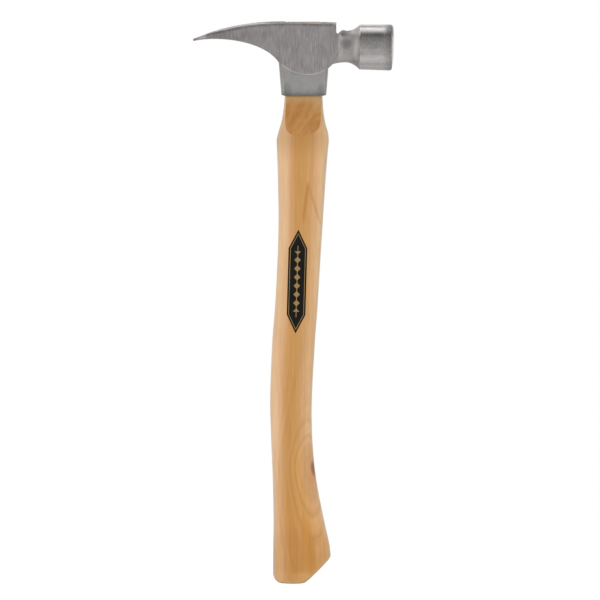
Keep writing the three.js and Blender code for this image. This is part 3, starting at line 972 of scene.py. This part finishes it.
# %% Alloy maker
def alloy(name, tone, grit, contrast, roughness, grain, *zones):
    """Metal with the skin group's colour, roughness and height. Each zone is an axis, two
    places on it in millimetres, and the shade at the first, rising to 1 at the second; or the
    word spot, a place and a size in x and z, and the shade in its middle; or the word scuffed,
    two places along x, and the roughness that is reached at the second."""
    material, tree, shader = surface(name)
    place = millimetres(tree)
    axes = dict(zip("XYZ", split(place)))
    drift = noise(place, [0.3] * 3, seed=4)
    shade = 1.0
    for kind, one, other, level in zones:
        if kind == "scuffed":
            roughness = ramp(axes["X"], one, other, roughness, level)
        elif kind == "spot":
            shade = (spot(axes["X"], axes["Z"], one, other) * (level - 1) + 1) * shade
        else:
            shade = ramp(drift * (0.4 * (other - one)) + axes[kind], one, other, level, 1) * shade
    skin_made = add(tree, "Group", {
        "Place": place, "Tone": tone, "Grit": grit, "Contrast": contrast,
        "Roughness": roughness, "Shade": shade,
    }, node_tree=metal_skin).outputs
    fill(shader, {
        "Metallic": 1.0, "Base Color": skin_made["Color"], "Roughness": skin_made["Roughness"],
        "Normal": bump(skin_made["Height"], grain),
    })
    return material


print("alloy maker ready")

# %% Metals of the head
# blasted_casting: the zones are painted shade, darker toward the socket's mouth, along its sides
# and near the mouth's corners, with a painted shadow under the disc's lower edge.
cast = alloy("blasted_casting", (0.62, 0.61, 0.59), (1.6, 1.6, 1.6), 0.12, 0.32, 0.3,
             ("Z", -3, 10, 0.42), ("Z", 0, 4, 0.66), ("X", -18.4, -15, 0.58),
             ("spot", (-13.5, 4.5), (5, 8.5), 0.78), ("spot", (14.5, 4.5), (4.5, 7), 0.8),
             ("spot", (-2.5, 19.5), (10, 4), 0.8), ("X", 18.4, 15.6, 0.7))
# ground_cheek: painted shade darker toward the claw, a painted highlight near the claw's tip, and
# painted shade dimming the highlight along the top rounding near the step.
ground = alloy("ground_cheek", (0.57, 0.535, 0.53), (1.3, 1.3, 0.09), 0.26, 0.36, 0.2,
               ("X", -75, -12, 0.8), ("spot", (-83.5, 48.3), (6, 4), 2.0),
               ("Z", 59.8, 58.2, 0.35), ("spot", (20, 58.9), (9, 1.7), 0.6))
# turned_poll: darker toward the rim, painted shade dimming the highlight at the rim's upper
# corner, and a painted highlight in a thin band at the rim; the scuffed zone makes the rim
# rougher.
turned = alloy("turned_poll", (0.57, 0.545, 0.54), (1.9, 0.5, 0.5), 0.2, 0.19, 0.12,
               ("X", 71.5, 62, 0.55), ("spot", (70, 53.1), (4.5, 5.5), 0.55),
               ("spot", (71.6, 35.3), (1.3, 14), 1.6), ("scuffed", 61, 68, 0.36))
# struck_face: painted shade at the face's upper corner.
struck = alloy("struck_face", (0.6, 0.59, 0.58), (1.2, 1.2, 1.2), 0.15, 0.24, 0.25,
               ("spot", (72, 53.5), (4, 8), 0.45))
# cast_neck: the spots paint its reflections: a painted dark patch in the hollow, painted
# highlights above it, beside the disc and at the flare to the poll, and painted shade near the top
# and toward the bottom.
neck = alloy("cast_neck", (0.66, 0.635, 0.62), (1.3, 1.3, 1.3), 0.12, 0.48, 0.3,
             ("spot", (34.6, 42.4), (5.6, 5.8), 0.64), ("spot", (34.6, 47.6), (5, 4.2), 1.25),
             ("spot", (30.2, 40.5), (2.5, 13), 1.28), ("spot", (43.9, 36.5), (4.6, 13.5), 1.38),
             ("spot", (32.6, 53.4), (8.5, 6.5), 0.4), ("spot", (43, 56), (4.5, 6), 0.75),
             ("Z", 31, 43, 0.74))
steel = alloy("wedge_steel_skin", (0.38, 0.38, 0.39), (3, 3, 1), 0.2, 0.42, 0.3)
plating = alloy("magnet_plating_skin", (0.7, 0.7, 0.71), (2, 2, 2), 0.08, 0.18, 0.1)
print("metals:", [material.name for material in bpy.data.materials])

# %% Finish by face
for material in (cast, ground, turned, struck, neck):
    casting.data.materials.append(material)
CAST, GROUND, TURNED, STRUCK, NECK = range(5)
ahead, aside, high = read(casting.data.polygons, "center") / MM
_, facing_aside, facing_up = read(casting.data.polygons, "normal")
on_cheek = (np.abs(aside) > cheek_half - 0.05) & (np.abs(facing_aside) > 0.99)
on_top = (ahead < step_ahead + 0.05) & (facing_up > 0.05) & (high > 30)
finish = np.full(len(ahead), CAST, dtype=np.int32)
finish[on_cheek | on_top] = GROUND
finish[ahead > step_ahead + 1] = NECK
finish[ahead > poll_back] = TURNED
finish[ahead > face_ahead - 1.6] = STRUCK
casting.data.polygons.foreach_set("material_index", finish)
for piece in steels:
    piece.data.materials.append(steel)
magnet.data.materials.append(plating)
print("faces per finish:", np.bincount(finish))

# %% [markdown]
# ## Hickory
# The growth rings run up the handle as long faint bands. Low on the grip a branch once left the
# trunk in front, and the rings part round its knot and close again below it in nested arcs. So
# the figure is solid: a depth is worked out from the distance to that knot, stretched up the
# wood and bent by slow noise, and late wood is a thin darker line at chosen depths. Fibres and
# pores run upward. Toward the edges the wood pales, partly as sapwood and partly as a painted
# sheen of the varnish, and its colours across the round also hold painted shading.

# %% Rings round the knot
knot_place = (8.0, -302.0)
ring_width = 5.75
figure, into, out = group(
    "hickory_figure",
    {"Place": "Vector", "Across": "Float"},
    {"Color": "Color", "Fibre": "Float", "Height": "Float"},
)
place = into.outputs["Place"]
x, y, z = split(place)
from_x, over = x - knot_place[0], z - knot_place[1]
# Below the knot a ring's width goes with a power of the drop; above it, the rings draw out to
# lines that lie at most 29 mm from the knot's own.
below = larger(over * -1, 0) ** 0.594
above = 0.9753 ** larger(over, 0)
stretched = below * 1.757 + (above * -29 + 29)
sway = noise(place, (0.05, 0.05, 0.008), detail=2, seed=3)
depth = (from_x**2 + stretched**2) ** 0.5 + y * 0.2 + (sway - 0.5) * 2
band = Number(add(figure, "TexNoise", {
    "W": depth / ring_width, "Scale": 0.8, "Detail": 3, "Roughness": 0.6,
}, noise_dimensions="1D").outputs["Fac"])
late = graph(depth, [
    (0, 0.77), (3.6, 0.77), (5.1, 0.35), (6.8, 0.85), (8.4, 0.85), (9.6, 0.6), (11.4, 0.9),
    (13, 0.15), (14.3, 0.95), (15.9, 0.9), (17, 0.15), (18.6, 1), (20, 0.77), (21.3, 0.4),
    (23, 0.8), (30, 0.77),
])
print("rings about", ring_width, "mm wide, round a knot at", knot_place)

# %% Colours across the handle
edge_sway = noise(place, (0.25, 0.25, 0.012), detail=3, seed=7)
swayed = (edge_sway - 0.5) * 0.3 + into.outputs["Across"]
# on_shaft and on_foot: colours across the round, sapwood paling toward the edges together with a
# painted sheen and painted shading.
on_shaft = colour_graph(swayed, [
    (-1, (0.79, 0.545, 0.345)), (-0.86, (0.80, 0.525, 0.305)), (-0.72, (0.765, 0.483, 0.27)),
    (-0.6, (0.70, 0.42, 0.215)), (-0.45, (0.65, 0.355, 0.155)), (-0.3, (0.60, 0.306, 0.105)),
    (-0.15, (0.583, 0.293, 0.088)), (0.1, (0.578, 0.295, 0.086)), (0.25, (0.618, 0.322, 0.106)),
    (0.42, (0.637, 0.348, 0.136)), (0.6, (0.715, 0.414, 0.2)), (0.8, (0.81, 0.497, 0.245)),
    (0.9, (0.83, 0.555, 0.305)), (1, (0.83, 0.575, 0.34)),
])
on_foot = colour_graph(swayed, [
    (-1, (0.68, 0.48, 0.3)), (-0.88, (0.70, 0.445, 0.235)), (-0.78, (0.73, 0.405, 0.19)),
    (-0.6, (0.63, 0.338, 0.135)), (-0.5, (0.62, 0.317, 0.106)), (-0.38, (0.572, 0.275, 0.073)),
    (-0.2, (0.585, 0.28, 0.073)), (0.0, (0.62, 0.31, 0.088)), (0.25, (0.635, 0.32, 0.088)),
    (0.4, (0.655, 0.342, 0.11)), (0.6, (0.70, 0.38, 0.15)), (0.8, (0.745, 0.415, 0.18)),
    (0.9, (0.77, 0.47, 0.235)), (1, (0.77, 0.53, 0.31)),
])
white = (1, 1, 1)
banded = blend(ramp(band, 0.3, 0.7), (0.95, 0.93, 0.86), (1.04, 1.06, 1.12))
near_knot = spot(x, z, (knot_place[0], -318), (40, 84))
ringed = blend(late, (0.88, 0.85, 0.73), (1.035, 1.045, 1.08))
ringed = blend(near_knot * 0.8 + 0.2, white, ringed)
ruddy = times(times(blend(ramp(z, -262, -350), on_shaft, on_foot), banded), ringed)
print("colours run from the back, -1, to the front, 1")

# %% Dark streaks, knot, fibres and pores
in_front = ramp(x, 4, 6.5)
legs = [
    ramp(abs(x - (z * slope + start)), half_width, 0.3, 0, darkness)
    for slope, start, half_width, darkness in ((0.13, 12.9, 2.1, 0.75), (-0.31, -18.6, 1.9, 0.35))
]
ruddy = paint(
    ruddy,
    (ramp(z, -68, -74) * ramp(z, -108, -96) * larger(*legs), 1, (0.49, 0.20, 0.05)),
    (spot(x, z, (4.3, -366), (6, 34), -0.154), 0.9, (0.6, 0.275, 0.06)),
    (spot(x, z, (7.5, -306), (10.5, 37)), 0.6, (0.59, 0.31, 0.13)),
    (spot(y, z, (-5.5, -309), (5.5, 7)) * in_front, 0.5, (0.72, 0.3, 0.12)),
    (spot(y, z, (-6.0, -302), (3.4, 8.5)) * in_front, 0.85, (0.28, 0.09, 0.045)),
)
fine = noise(place, (2.2, 2.2, 0.05), detail=3, rough=0.6)
streak = noise(place, (0.5, 0.5, 0.025), detail=3, seed=11)
pore = ramp(noise(place, (4.5, 4.5, 0.14), detail=1, seed=5), 0.66, 0.78)
fibrous = ramp(fine, 0.3, 0.7, -1, 1) * 0.045 + ramp(streak, 0.3, 0.7, -1, 1) * 0.035 + 1
fill(out, {"Color": scale(ruddy, pore * -0.1 + fibrous), "Fibre": fine, "Height": fine - pore})
print("hickory figure from", len(figure.nodes), "nodes")


# %% Attributes on the handle
def handle_marks(piece):
    """Writes three values per point: place across the handle, the planed flats, and the butt's
    lower edge, which is painted pale as painted light from the floor.
    """
    mesh = piece.data
    x, y, z = read(mesh.vertices, "co") / MM
    drop = np.clip(-z, 0, handle_length)
    thick = along(thicknesses, drop) / 2
    share = (x + along(backs, drop)) / (along(widths, drop) / 2)
    power = squareness(drop)
    full = thick * np.clip(1 - np.abs(share) ** power, 0, 1) ** (1 / power)
    flat = flat_half(drop, x)
    planed = smooth((full - flat) / planed_edge + 0.2) * (np.abs(y) > 0.9 * flat)
    bounce_lit_edge = 1 - smooth((z + handle_length - end_rise(x)) / bounce_lit_height)
    for name, values in (("across", share), ("planed", planed), ("bounce_lit_edge", bounce_lit_edge)):
        mark = mesh.attributes.new(name, "FLOAT", "POINT")
        mark.data.foreach_set("value", values.astype(np.float32))
    return planed


planed_edge, bounce_lit_height = 0.35, 2.8
print("points on the planed flats:", int((handle_marks(handle) > 0.5).sum()))

# %% [markdown]
# ## Finish of the handle
# The shaft is varnished and the planed flats are left as the saw cut them, across the fibres,
# and are coloured darker; just under the socket they are painted lighter, as painted light
# against the socket's shadow. The shaft beside and below the flats carries painted shade, and
# the wood a little above the foot is darker. The tenon's end is dull, and the butt's lower edge
# is painted pale, as painted light thrown up from the floor.

# %% Planed flats
varnished, tree, shader = surface("varnished_hickory")
place = millimetres(tree)
x, y, z = split(place)
across_mark, planed_mark, bounce_lit_mark = [
    Number(add(tree, "Attribute", {}, attribute_name=name).outputs["Fac"])
    for name in ("across", "planed", "bounce_lit_edge")
]
wood = add(tree, "Group", {"Place": place, "Across": across_mark}, node_tree=figure).outputs
saw_lean = -32  # degrees from the fibres
lean = (0, np.radians(saw_lean), 0)
leaned = add(tree, "Mapping", {"Vector": place, "Rotation": lean}).outputs[0]
sawn = noise(leaned, (0.36, 0.36, 0.13), detail=2, seed=2)
flat_colour = paint(
    blend(ramp(sawn, 0.25, 0.75), (0.41, 0.19, 0.051), (0.50, 0.25, 0.077)),
    (spot(x, z, (-6.8, -17), (4.6, 16), 0.5), 0.5, (0.42, 0.16, 0.045)),
    (spot(x, z, (2.8, -19.5), (3, 12), 0.76), 0.25, (0.56, 0.31, 0.115)),
    (spot(x, z, (10.5, -22.5), (6, 5)), 0.5, (0.38, 0.18, 0.05)),
    # painted light: the top of the flats just under the socket, and a patch at its front corner,
    # are painted lighter against the socket's shadow.
    (spot(x, z, (11.3, -4.5), (6, 12)), 0.42, (0.60, 0.40, 0.18)),
    (ramp(z, -9, 0), 0.7, (0.56, 0.35, 0.165)),
)
print("saw marks lean", saw_lean, "degrees; nodes so far:", len(tree.nodes))

# %% Painted shade and light on the handle, and the dull tenon end
# painted shade on the shaft beside and below the planed flats
painted_shoulder_shade = blend(ramp(z, -56, -30) * ramp(x, 17.8, 14.8), white, (0.83, 0.80, 0.74))
# the wood a little above the foot is darker
foot = blend(ramp(z, -345, -365) * ramp(z, -390, -382), white, (0.93, 0.9, 0.84))
wood_colour = paint(
    blend(planed_mark, times(wood["Color"], times(painted_shoulder_shade, foot)), flat_colour),
    (ramp(z, 0, 2), 0.8, (0.36, 0.215, 0.1)),
    # painted light: a paler patch on the middle of the butt's foot, as light thrown up from the
    # floor
    (spot(x, z, (-0.5, -391.5), (12, 7)), 0.4, (0.7, 0.42, 0.165)),
    # painted light on the butt's lower edge, as light thrown up from the floor
    (bounce_lit_mark, 1, (0.78, 0.52, 0.29)),
)
print("nodes so far:", len(tree.nodes))

# %% [markdown]
# ## Printed label
# A dark printed label lies on the shaft: a long hexagon with a thin border and a row of small
# diamonds on a line. It has no thickness, so it is drawn in the material. Each shape is a
# distance to its edge, s across the label and t along it, and ink lies where that is below 0.

# %% Label
label_place, label_tilt = (-5.35, -150.5), np.radians(1.65)
label_half, label_reach, label_slant = 7.6, 42.2, 2
border_in, border_half = 1.5, 0.22
line_half, line_reach = 0.3, 29
diamond_half, diamond_reach, diamond_pitch, row_reach = 2.6, 2.7, 3.5, 24.5

from_x, from_z = x - label_place[0], z - label_place[1]
s_size = abs(from_x * np.cos(label_tilt) + from_z * -np.sin(label_tilt))
t_place = from_x * np.sin(label_tilt) + from_z * np.cos(label_tilt)
t_size = abs(t_place)
slanted = (s_size * label_slant + t_size - label_reach) / np.hypot(label_slant, 1)
beyond = larger(s_size - label_half, slanted)
ink = ramp(beyond, 0.12, -0.12) * work_out("LESS_THAN", y, 0)
border = abs(beyond + border_in) - border_half
line = larger(s_size - line_half, t_size - line_reach)
bead = abs(work_out("PINGPONG", t_place + 20 * diamond_pitch, diamond_pitch) - diamond_pitch)
diamond = larger(s_size / diamond_half + bead / diamond_reach - 1, (t_size - row_reach) * 0.3)
gilt = ramp(smaller(smaller(border, diamond), line), 0.08, -0.08) * ink
finished = paint(wood_colour, (ink, 1, (0.005, 0.0045, 0.004)), (gilt, 1, (0.33, 0.21, 0.075)))
print("label", 2 * label_half, "by", 2 * label_reach, "mm")

# %% Varnish and split wood
fill(shader, {
    "Base Color": finished,
    "Roughness": planed_mark * 0.12 + (Number(wood["Fibre"]) * 0.12 + 0.36),
    "Specular IOR Level": 0.22,
    "Coat Weight": (1 - ink) * (planed_mark * -0.3 + 0.4),
    "Coat Roughness": 0.25,
    "Normal": bump(wood["Height"], 0.12),
})
handle.data.materials.append(varnished)

split_wood, tree, shader = surface("split_wedge_wood")
wood = add(tree, "Group", {"Place": millimetres(tree)}, node_tree=figure).outputs
fill(shader, {
    "Base Color": times(wood["Color"], (0.5, 0.53, 0.6)),
    "Roughness": Number(wood["Fibre"]) * 0.2 + 0.55,
})
cleft.data.materials.append(split_wood)
print("materials:", [material.name for material in bpy.data.materials])

# %% [markdown]
# ## Joining the frame
# Each piece rides on the CAD's one body and stands for the CAD node of the same part.

# %% Ride and replace
dressed = [
    (casting, "head", "head_alloy"),
    (handle, "handle", "hickory"),
    (cleft, "wood_wedge", "wedge_wood"),
    (steels[0], "steel_wedge_front", "wedge_steel"),
    (steels[1], "steel_wedge_rear", "wedge_steel"),
    (magnet, "starter_magnet", "magnet_plating"),
]
for piece, node, slot_name in dressed:
    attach(piece, "root")
    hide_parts(node)
print("pieces:", [piece.name for piece, node, slot_name in dressed])

# %% [markdown]
# ## Floor and light
# A pale studio: a white sweep behind, a soft box overhead, a dimmer room in front. Polished
# metal is a picture of its room, so the room's tones are written out by direction. The camera
# sees plain white, and so do reflections that look toward the sweep.

# %% Floor
floor_reach, floor_thickness = 3000.0, 6.0
floor_corners = floor_reach * np.array([[-1, -1], [1, -1], [1, 1], [-1, 1]])
floor = skin("floor", np.array([
    laid(floor_corners, -handle_length - deep) for deep in (floor_thickness, 0)
]))
paper, tree, shader = surface("white_paper")
place = millimetres(tree)
# The paper's colour holds painted shade: lightest near the tool, darker toward the front and back
# of the room, with a painted shadow just beneath the tool; the noise adds a faint mottle.
paper_shade_and_mottle = graph(split(place)[1], [
    (-2500, 0.36), (-1400, 0.42), (-650, 0.46), (-300, 0.70), (-170, 0.73), (-60, 0.68),
    (40, 0.6), (170, 0.69), (400, 0.57), (1000, 0.54),
])
paper_shade_and_mottle += noise(place, [0.4] * 3, detail=2) * 0.02
paper_colour = add(tree, "CombineColor", dict.fromkeys(range(3), paper_shade_and_mottle)).outputs[0]
fill(shader, {"Base Color": paper_colour, "Roughness": 0.9})
seen = Number(add(tree, "LightPath", {}).outputs["Is Camera Ray"])
glow = add(tree, "Emission", {"Color": white, "Strength": 1.42})
lit = add(tree, "MixShader", {0: seen * 0.62, 1: shader.outputs[0], 2: glow.outputs[0]})
fill(tree.nodes["Material Output"], {"Surface": lit.outputs[0]})
floor.data.materials.append(paper)
print("floor at", -handle_length, "mm")

# %% Room by direction
world = bpy.data.worlds.new("studio")
bpy.context.scene.world = world
world.use_nodes = True
tree = world.node_tree
x, y, z = split(add(tree, "TexCoord", {}).outputs["Generated"])
height = work_out("ARCTAN2", z, y * -1) * (180 / np.pi)
tones = [
    (-180, 1.2), (-150, 0.7), (-135, 0.6), (-90, 0.6), (-64, 0.8), (-30, 0.55), (0, 0.46),
    (30, 0.36), (48, 0.29), (62, 0.14), (72, 0.2), (82, 0.6), (94, 1.15), (104, 1.55),
    (113, 1.5), (122, 0.55), (134, 0.62), (146, 1.15), (180, 1.2),
]
front_tone = graph(height, tones, ceiling=2)
sideways = abs(x)
side_tone = ramp(x, -0.2, 0.2, 0.66, 0.55) + ramp(y, 0, 0.5, 0, 0.25)
to_flag = ramp(y, -0.05, -0.3) * ramp(sideways, 0.42, 0.66)
to_side = larger(ramp(sideways, 0.88, 0.975), ramp(y, 0, 0.3) * ramp(sideways, 0.3, 0.6))
level = between(to_side, between(to_flag, front_tone, ramp(x, -0.3, 0.3, 0.34, 0.5)), side_tone)
path = add(tree, "LightPath", {}).outputs
mirrored = larger(Number(path["Is Glossy Ray"]), path["Is Transmission Ray"])
white_seen = larger(mirrored * ramp(y, 0.7, 0.88), path["Is Camera Ray"])
fill(tree.nodes["Background"], {"Color": white, "Strength": between(white_seen, level, 1.0)})
print("room tones by height:", tones)

# %% Lamps
def softbox(name, place, aim, size, power):
    """Area lamp at a place in metres, turned toward another; mirrors don't show it."""
    data = bpy.data.lights.new(name, "AREA")
    data.size = size
    data.energy = power
    lamp = shown(name, data)
    offset = np.array(aim) - np.array(place)
    dip = np.arctan2(np.hypot(offset[0], offset[1]), -offset[2])
    lamp.rotation_euler = (dip, 0, np.arctan2(-offset[0], offset[1]))
    lamp.location = place
    lamp.visible_glossy = False


softbox("front_box", (-0.9, -2.2, 0.7), (0, 0, -0.15), 1.4, 28)
softbox("top_box", (0.3, -0.4, 1.7), (0, 0, -0.15), 1.2, 9)
softbox("low_box", (0.7, -2.3, -0.2), (0, 0, -0.15), 1.0, 6)
print("lamps:", [lamp.name for lamp in bpy.data.lights])
